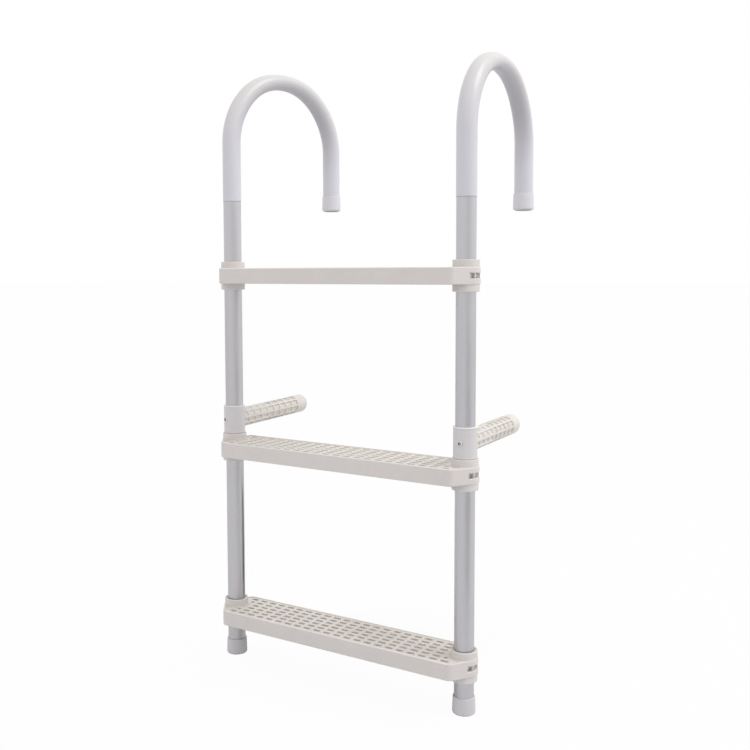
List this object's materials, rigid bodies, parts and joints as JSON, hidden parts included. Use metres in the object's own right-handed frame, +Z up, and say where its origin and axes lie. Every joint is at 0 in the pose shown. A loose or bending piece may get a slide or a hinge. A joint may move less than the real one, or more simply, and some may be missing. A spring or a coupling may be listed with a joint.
{
  "type": "folding swim ladder",
  "caption": "Hook-over boat ladder with tube rails, moulded lattice steps, swivelling gunwale hooks in soft sleeves and swivelling stand-off arms.",
  "frame": {"origin": "the gunwale seat: midway between the two hooks, level with the inside of the lower hook's crown", "axes": "+X from the left rail to the right one as the swimmer sees them, +Y from the swimmer to the boat, +Z up along the rails"},
  "size_m": [0.404, 0.2467, 0.8576],
  "materials": {
    "rail_aluminium": "satin anodised",
    "hook_tube_aluminium": "satin",
    "hook_vinyl": "smooth soft vinyl, semi-gloss",
    "cap_plastic": "smooth moulded",
    "step_plastic": "moulded, faintly grained",
    "foot_plastic": "smooth moulded",
    "socket_plastic": "smooth moulded",
    "arm_plastic": "moulded lattice",
    "screw_steel": "bright",
    "rivet_steel": "dull"
  },
  "bodies": {
    "ladder": {"bottom_step": "step_plastic", "middle_step": "step_plastic", "top_step": "step_plastic", "left_rail": "rail_aluminium", "left_foot": "foot_plastic", "left_bottom_rivet": "rivet_steel", "left_middle_rivet": "rivet_steel", "left_top_rivet": "rivet_steel", "right_rail": "rail_aluminium", "right_foot": "foot_plastic", "right_bottom_rivet": "rivet_steel", "right_middle_rivet": "rivet_steel", "right_top_rivet": "rivet_steel"},
    "left_hook": {"left_hook_tube": "hook_tube_aluminium", "left_hook_sleeve": "hook_vinyl", "left_hook_cap": "cap_plastic"},
    "left_standoff": {"left_standoff_socket": "socket_plastic", "left_standoff_arm": "arm_plastic", "left_standoff_screw": "screw_steel"},
    "right_hook": {"right_hook_tube": "hook_tube_aluminium", "right_hook_sleeve": "hook_vinyl", "right_hook_cap": "cap_plastic"},
    "right_standoff": {"right_standoff_socket": "socket_plastic", "right_standoff_arm": "arm_plastic", "right_standoff_screw": "screw_steel"}
  },
  "joints": [
    {"name": "left_hook_swivel", "type": "hinge", "parent": "ladder", "child": "left_hook", "pos_m": [-0.184, -0.098, -0.1584], "axis": [0, 0, 1], "range_deg": [-76, 14]},
    {"name": "left_standoff_swivel", "type": "hinge", "parent": "ladder", "child": "left_standoff", "pos_m": [-0.184, -0.098, -0.4726], "axis": [0, 0, 1], "range_deg": [-88.1, 1.9]},
    {"name": "right_hook_swivel", "type": "hinge", "parent": "ladder", "child": "right_hook", "pos_m": [0.184, -0.098, -0.1679], "axis": [0, 0, 1], "range_deg": [-90.7, 0]},
    {"name": "right_standoff_swivel", "type": "hinge", "parent": "ladder", "child": "right_standoff", "pos_m": [0.184, -0.098, -0.4726], "axis": [0, 0, 1], "range_deg": [-1.5, 88.5]}
  ]
}
